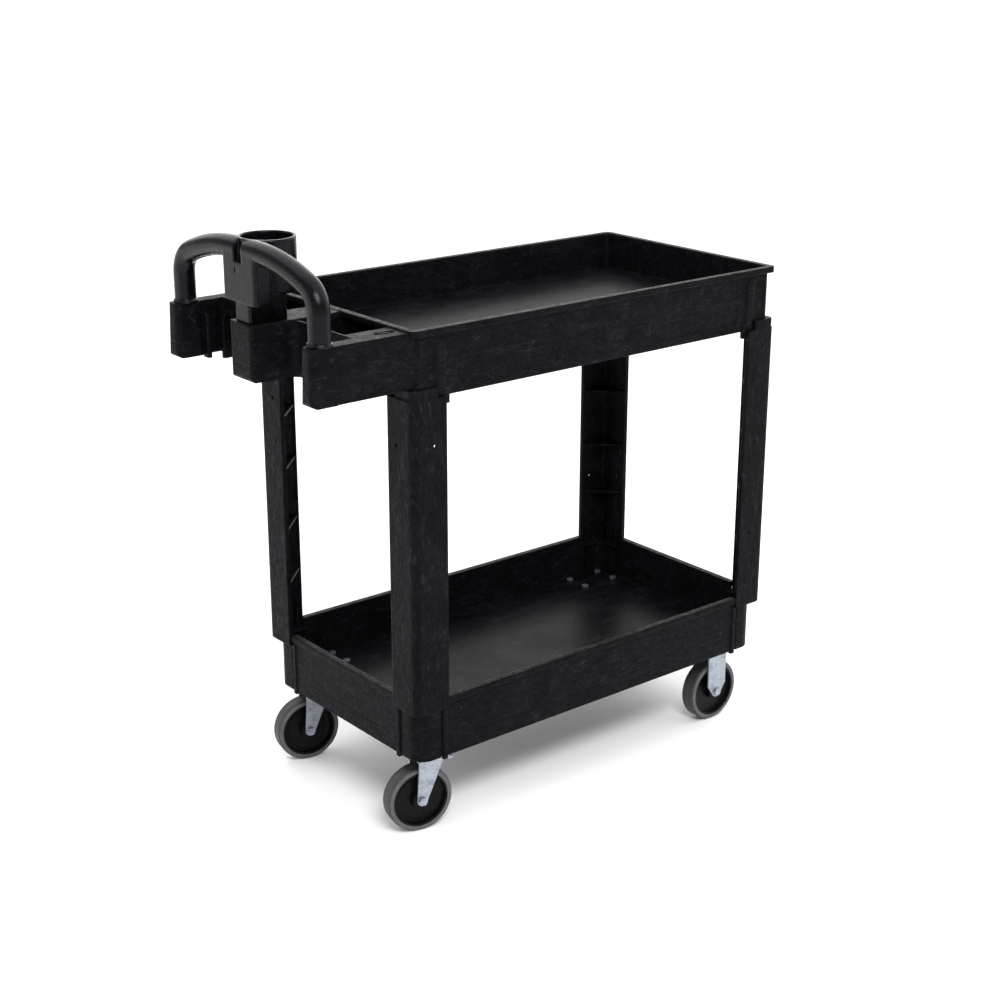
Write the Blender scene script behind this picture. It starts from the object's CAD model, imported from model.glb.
import bpy
import bmesh
import math
from mathutils import Matrix, Vector


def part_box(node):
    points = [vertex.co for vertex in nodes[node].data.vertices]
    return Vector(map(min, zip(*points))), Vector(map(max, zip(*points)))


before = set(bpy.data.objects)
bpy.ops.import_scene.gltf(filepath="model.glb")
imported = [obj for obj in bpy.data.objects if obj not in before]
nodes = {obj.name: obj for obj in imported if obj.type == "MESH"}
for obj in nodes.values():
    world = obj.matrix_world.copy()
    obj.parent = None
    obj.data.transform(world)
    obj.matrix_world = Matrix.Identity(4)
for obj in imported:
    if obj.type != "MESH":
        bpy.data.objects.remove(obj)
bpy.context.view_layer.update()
scene = bpy.context.scene
print("frame loaded with", len(nodes), "pieces")


# shader maths written as plain expressions
class Wire:
    def __init__(self, graph, socket):
        self.graph = graph
        self.socket = socket

    def maths(self, how, other, turned=False):
        first, second = (other, self) if turned else (self, other)
        return self.graph.add("ShaderNodeMath", {"operation": how}, {0: first, 1: second})

    def __add__(self, other):
        return self.maths("ADD", other)

    def __radd__(self, other):
        return self.maths("ADD", other, turned=True)

    def __sub__(self, other):
        return self.maths("SUBTRACT", other)

    def __rsub__(self, other):
        return self.maths("SUBTRACT", other, turned=True)

    def __mul__(self, other):
        return self.maths("MULTIPLY", other)

    def __rmul__(self, other):
        return self.maths("MULTIPLY", other, turned=True)


class Graph:
    def __init__(self, owner):
        self.owner = owner
        self.owner.use_nodes = True
        self.tree = self.owner.node_tree
        self.tree.nodes.clear()

    def add(self, kind, settings=None, inputs=None, out=0):
        node = self.tree.nodes.new(kind)
        for key, value in (settings or {}).items():
            setattr(node, key, value)
        for key, value in (inputs or {}).items():
            socket = node.inputs[key]
            if isinstance(value, Wire):
                self.tree.links.new(value.socket, socket)
            else:
                socket.default_value = value
        return Wire(self, node.outputs[out]) if node.outputs else None

    def place(self, stretch=(1, 1, 1), turn=(0, 0, 0)):
        at = self.add("ShaderNodeTexCoord", out="Object")
        return self.add("ShaderNodeMapping", {}, {"Vector": at, "Scale": stretch, "Rotation": turn})

    def noise(self, vector, size, detail=4.0, rough=0.55, warp=0.0):
        return self.add("ShaderNodeTexNoise", {}, {"Vector": vector, "Scale": size, "Detail": detail,
                                                   "Roughness": rough, "Distortion": warp})

    def span(self, value, low, high, toLow=0.0, toHigh=1.0):
        # a smooth step from toLow to toHigh as the value goes from low to high
        return self.add("ShaderNodeMapRange", {"interpolation_type": "SMOOTHSTEP"},
                        {"Value": value, "From Min": low, "From Max": high,
                         "To Min": toLow, "To Max": toHigh})

    def blend(self, factor, under, over):
        under, over = (tone if isinstance(tone, Wire) else (*tone, 1) for tone in (under, over))
        return self.add("ShaderNodeMix", {"data_type": "RGBA"}, {0: factor, 6: under, 7: over}, out=2)

    def softNormal(self, radius):
        return self.add("ShaderNodeBevel", {"samples": 8}, {"Radius": radius})

    def edges(self, radius):
        # one along sharp edges, nothing on flat faces
        soft = self.softNormal(radius)
        flat = self.add("ShaderNodeNewGeometry", out="Normal")
        along = self.add("ShaderNodeVectorMath", {"operation": "DOT_PRODUCT"}, {0: soft, 1: flat},
                         out="Value")
        return self.span(1.0 - along, 0.06, 0.32)

    def finish(self, color, rough, bump=None, height=0.0, edge=0.0, **fixed):
        inputs = {"Base Color": color, "Roughness": rough}
        if bump is not None:
            soft = self.softNormal(edge)
            values = {"Height": bump, "Distance": height, "Strength": 1.0, "Normal": soft}
            inputs["Normal"] = self.add("ShaderNodeBump", {}, values)
        inputs.update(fixed)
        shader = self.add("ShaderNodeBsdfPrincipled", {}, inputs)
        self.add("ShaderNodeOutputMaterial", {}, {"Surface": shader})
        return self.owner


# grained black foam plastic; colours are linear, and edge, rub and height are in metres
foamLook = {"dark": (0.0018, 0.0018, 0.0023), "pale": (0.0058, 0.0058, 0.0076),
            "streak": (0.030, 0.030, 0.037), "worn": (0.046, 0.046, 0.053), "scuff": (0.022, 0.023, 0.030),
            "roughHigh": 0.56, "roughLow": 0.33, "swirl": 7.0, "blotch": 34.0, "curl": 75.0, "grain": 170.0,
            "pit": 520.0, "shine": 0.045, "shineTint": (0.90, 0.91, 1.0, 1), "edge": 0.0045, "rub": 0.0013,
            "height": 0.0015}
topLook = dict(foamLook, edge=0.0060)
handleLook = dict(foamLook, dark=(0.0006, 0.0006, 0.0009), pale=(0.0030, 0.0030, 0.0040),
                  streak=(0.0120, 0.0120, 0.0150), roughHigh=0.30, roughLow=0.16, shine=0.16, edge=0.0060,
                  height=0.0007)
deckHeights = {"upper": 0.880, "lower": 0.193}  # upper faces of the two tray floors, as in the CAD


def foamPlastic(name, look, stretch, seed=0.0, floorZ=None):
    # moulded structural foam: feathery swirls of paler resin drawn out along the flow, with fine pits
    graph = Graph(bpy.data.materials.new(name))
    at = graph.place(stretch, (seed, seed * 0.7, 0))
    plain = graph.place((1, 1, 1), (0, seed, seed))
    flow = graph.noise(plain, look["swirl"], 4.0, 0.6, 1.6)
    blotch = graph.noise(at, look["blotch"], 5.0, 0.68, 1.4)
    curl = graph.noise(at, look["curl"], 5.0, 0.72, 2.2)
    grain = graph.noise(at, look["grain"], 4.0, 0.75, 0.8)
    pit = graph.noise(plain, look["pit"], 2.0, 0.5)
    mottle = graph.span(flow * 0.2 + blotch * 0.3 + curl * 0.3 + grain * 0.2, 0.42, 0.60)
    color = graph.blend(mottle, look["dark"], look["pale"])
    feather = graph.span(curl, 0.54, 0.70) * graph.span(blotch, 0.44, 0.60)
    color = graph.blend(feather * 0.6, color, look["streak"])
    fleck = graph.span(grain, 0.60, 0.76) * graph.span(flow, 0.40, 0.60)
    color = graph.blend(fleck * 0.7, color, look["streak"])
    rubbed = graph.edges(look["rub"]) * graph.span(curl, 0.36, 0.60, 0.25, 1.0)
    color = graph.blend(rubbed * 0.5, color, look["worn"])
    rough = graph.span(curl * 0.5 + grain * 0.5, 0.40, 0.62, look["roughHigh"], look["roughLow"])
    bump = blotch * 0.5 + curl * 0.55 + grain * 0.22 + pit * 0.06
    if floorZ is not None:
        # the deck is polished and scuffed by what has slid over it
        level = graph.add("ShaderNodeSeparateXYZ", {}, {"Vector": graph.place()}, out=2)
        above = graph.span(level, floorZ + 0.0004, floorZ + 0.0020)
        deck = (1.0 - above) * graph.span(level, floorZ - 0.002, floorZ - 0.0004)
        slide = graph.noise(graph.place((1.0, 7.0, 1.0), (0, 0, 0.5)), 6.0, 8.0, 0.72, 0.5)
        cross = graph.noise(graph.place((8.0, 1.0, 1.0), (0, 0, -0.4)), 6.0, 8.0, 0.72, 0.4)
        marks = graph.span(slide, 0.53, 0.70) * 0.7 + graph.span(cross, 0.56, 0.72) * 0.5
        line = graph.noise(graph.place((1.5, 60.0, 1.0), (0, 0, 0.72)), 5.0, 3.0, 0.5, 0.6)
        fine = graph.span(line, 0.60, 0.68) * graph.span(flow, 0.45, 0.6)
        color = graph.blend(deck * marks * 0.50, color, look["scuff"])
        color = graph.blend(deck * fine * 0.55, color, look["scuff"])
        worn = graph.span(flow, 0.35, 0.65, 0.37, 0.43) + marks * 0.08
        rough = rough * (1.0 - deck) + deck * worn
        bump = bump * (1.0 - deck * 0.93)
    return graph.finish(color, rough, bump, look["height"], look["edge"],
                        **{"Specular IOR Level": look["shine"], "Specular Tint": look["shineTint"]})


# zinc-plated steel, and the brighter bolts and nuts
zincLook = {"pale": (0.36, 0.39, 0.44), "dark": (0.21, 0.235, 0.275), "metal": 0.85, "roughHigh": 0.46,
            "roughLow": 0.30, "cloud": 55.0, "spangle": 260.0, "edge": 0.0010, "height": 0.00008}
fastenerLook = dict(zincLook, roughHigh=0.34, roughLow=0.18)


def zincPlate(name, look):
    graph = Graph(bpy.data.materials.new(name))
    cloud = graph.noise(graph.place(), look["cloud"], 4.0, 0.6, 0.6)
    brush = graph.noise(graph.place((60, 60, 900)), 1.0, 3.0, 0.5)
    spangle = graph.add("ShaderNodeTexVoronoi", {}, {"Vector": graph.place(), "Scale": look["spangle"]})
    color = graph.blend(graph.span(cloud * 0.7 + spangle * 0.3, 0.25, 0.6), look["dark"], look["pale"])
    rough = graph.span(brush * 0.5 + cloud * 0.5, 0.3, 0.7, look["roughHigh"], look["roughLow"])
    return graph.finish(color, rough, brush * 0.3 + cloud * 0.2, look["height"], look["edge"],
                        Metallic=look["metal"])


# grey rubber tread: pale sidewalls, and a darker running face round the outside
treadLook = {"pale": (0.100, 0.101, 0.107), "dark": (0.076, 0.077, 0.082), "worn": (0.034, 0.034, 0.033),
             "dust": (0.20, 0.20, 0.19), "roughHigh": 0.66, "roughLow": 0.50, "cloud": 40.0, "speck": 700.0,
             "shine": 0.3, "edge": 0.0008, "height": 0.00018}


def greyTread(name, look, node):
    graph = Graph(bpy.data.materials.new(name))
    low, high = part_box(node)
    middle = (low + high) / 2
    radius = (high.z - low.z) / 2
    part = graph.add("ShaderNodeVectorMath", {"operation": "SUBTRACT"}, {0: graph.place(), 1: tuple(middle)})
    away = graph.add("ShaderNodeVectorMath", {"operation": "LENGTH"}, {0: part}, out=1)
    cloud = graph.noise(graph.place(), look["cloud"], 5.0, 0.6, 0.5)
    speck = graph.noise(graph.place(), look["speck"], 2.0, 0.5)
    color = graph.blend(graph.span(cloud, 0.3, 0.7), look["dark"], look["pale"])
    running = graph.span(away, radius - 0.0012, radius + 0.0004)
    color = graph.blend(running * graph.span(cloud, 0.2, 0.6, 0.75, 1.0), color, look["worn"])
    color = graph.blend(graph.span(speck, 0.60, 0.75) * 0.35, color, look["dust"])
    rough = graph.span(cloud, 0.3, 0.7, look["roughHigh"], look["roughLow"])
    return graph.finish(color, rough, speck * 0.3 + cloud * 0.4, look["height"], look["edge"],
                        **{"Specular IOR Level": look["shine"]})


# smooth black plastic of the wheel cores
coreLook = {"dark": (0.0015, 0.0015, 0.002), "pale": (0.0042, 0.0042, 0.005), "roughHigh": 0.42,
            "roughLow": 0.28, "cloud": 60.0, "speck": 700.0, "shine": 0.10, "edge": 0.0009, "height": 0.00015}


def corePlastic(name, look):
    graph = Graph(bpy.data.materials.new(name))
    cloud = graph.noise(graph.place(), look["cloud"], 4.0, 0.6, 0.8)
    speck = graph.noise(graph.place(), look["speck"], 2.0, 0.5)
    color = graph.blend(graph.span(cloud, 0.35, 0.7), look["dark"], look["pale"])
    rough = graph.span(cloud, 0.3, 0.7, look["roughHigh"], look["roughLow"])
    return graph.finish(color, rough, speck * 0.3 + cloud * 0.3, look["height"], look["edge"],
                        **{"Specular IOR Level": look["shine"]})


def setMaterial(thing, material):
    thing.data.materials.clear()
    thing.data.materials.append(material)


foamTop = foamPlastic("foamUpperTray", topLook, (0.55, 1, 1.2), 0.0, deckHeights["upper"])
foamLow = foamPlastic("foamLowerTray", foamLook, (0.5, 1, 1.2), 1.1, deckHeights["lower"])
foamLeg = foamPlastic("foamLeg", foamLook, (1, 1, 0.42))
foamHandle = foamPlastic("foamHandle", handleLook, (1, 1, 0.5), 0.6)
zinc = zincPlate("zincPlate", zincLook)
zincBright = zincPlate("zincFastener", fastenerLook)
core = corePlastic("wheelPlastic", coreLook)
plastics = {"top_tray": foamTop, "bottom_tray": foamLow, "handle_unit": foamHandle}

for name, thing in nodes.items():
    if name in plastics:
        setMaterial(thing, plastics[name])
    elif name.startswith("leg_"):
        setMaterial(thing, foamLeg)
    elif "tyre" in name:
        setMaterial(thing, greyTread("tread_" + name, treadLook, name))
    elif "wheel_core" in name:
        setMaterial(thing, core)
    elif "bolt" in name or "nut" in name:
        setMaterial(thing, zincBright)
    else:
        setMaterial(thing, zinc)
print("finishes on", len(nodes), "pieces")


# pale floor and soft light; power in watts for the boxes, spread in degrees
floorValues = {"halfSize": 60.0, "pale": (0.985, 0.985, 0.985), "shade": 0.997, "patch": 2.0, "rough": 0.9}
worldValues = {"color": (1, 1, 1, 1), "light": 0.42, "backdrop": 1.0}
sunValues = {"power": 3.7, "spread": 125.0, "place": (1.7, 0.9, 2.4), "target": (0.0, 0.0, 0.0)}
softBoxes = {
    "leftBox": {"size": (1.8, 1.2), "power": 13.0, "place": (-2.5, 0.9, 1.0), "target": (-0.4, 0.0, 0.5)},
    "keyBox": {"size": (1.6, 0.8), "power": 95.0, "place": (-1.3, -2.5, 3.0), "target": (-0.3, 0.0, 0.9)},
    "backBox": {"size": (2.4, 0.8), "power": 9.0, "place": (2.2, 3.0, 2.0), "target": (0.0, 0.0, 0.2)}}


def makeFloor(values):
    mesh = bpy.data.meshes.new("studioFloor")
    grid = bmesh.new()
    bmesh.ops.create_grid(grid, x_segments=1, y_segments=1, size=values["halfSize"])
    grid.to_mesh(mesh)
    grid.free()
    floor = bpy.data.objects.new("studioFloor", mesh)
    scene.collection.objects.link(floor)
    graph = Graph(bpy.data.materials.new("paleFloor"))
    cloud = graph.noise(graph.place(), values["patch"], 2.0)
    darker = tuple(tone * values["shade"] for tone in values["pale"])
    color = graph.blend(graph.span(cloud, 0.3, 0.7), darker, values["pale"])
    setMaterial(floor, graph.finish(color, values["rough"], **{"Specular IOR Level": 0.0}))


def makeWorld(values):
    # the backdrop reads white behind the floor's edge, but lights the cart more softly
    world = bpy.data.worlds.new("studioWorld")
    scene.world = world
    graph = Graph(world)
    seen = graph.add("ShaderNodeLightPath", out="Is Camera Ray")
    strength = values["light"] + seen * (values["backdrop"] - values["light"])
    sky = graph.add("ShaderNodeBackground", {}, {"Color": values["color"], "Strength": strength})
    graph.add("ShaderNodeOutputWorld", {}, {"Surface": sky})


def aimLamp(name, data, values):
    lamp = bpy.data.objects.new(name, data)
    scene.collection.objects.link(lamp)
    lamp.location = values["place"]
    way = Vector(values["target"]) - Vector(values["place"])
    lamp.rotation_euler = way.to_track_quat("-Z", "Y").to_euler()


def makeSun(name, values):
    data = bpy.data.lights.new(name, "SUN")
    data.energy = values["power"]
    data.angle = math.radians(values["spread"])
    aimLamp(name, data, values)


def makeSoftBox(name, values):
    data = bpy.data.lights.new(name, "AREA")
    data.shape = "RECTANGLE"
    data.size, data.size_y = values["size"]
    data.energy = values["power"]
    aimLamp(name, data, values)


makeFloor(floorValues)
makeWorld(worldValues)
makeSun("softSun", sunValues)
for name, values in softBoxes.items():
    makeSoftBox(name, values)
print("floor and lights ready")


# angles in degrees, lens and sensor in millimetres, lengths in metres
cameraValues = {"place": (-2.008892, -2.49858, 1.62535), "azimuth": -39.3443, "elevation": 18.9371,
                "roll": 0.1151, "lens": 63.407, "sensor": 36.0, "clip": (0.05, 60.0)}


def makeCamera(values):
    data = bpy.data.cameras.new("camera")
    data.lens = values["lens"]
    data.sensor_width = values["sensor"]
    data.clip_start, data.clip_end = values["clip"]
    camera = bpy.data.objects.new("camera", data)
    scene.collection.objects.link(camera)
    turn = (Matrix.Rotation(math.radians(values["azimuth"]), 4, "Z")
            @ Matrix.Rotation(math.radians(90 - values["elevation"]), 4, "X")
            @ Matrix.Rotation(math.radians(values["roll"]), 4, "Z"))
    camera.matrix_world = Matrix.Translation(values["place"]) @ turn
    scene.camera = camera


makeCamera(cameraValues)
scene.view_settings.view_transform = "Standard"
print("camera ready")
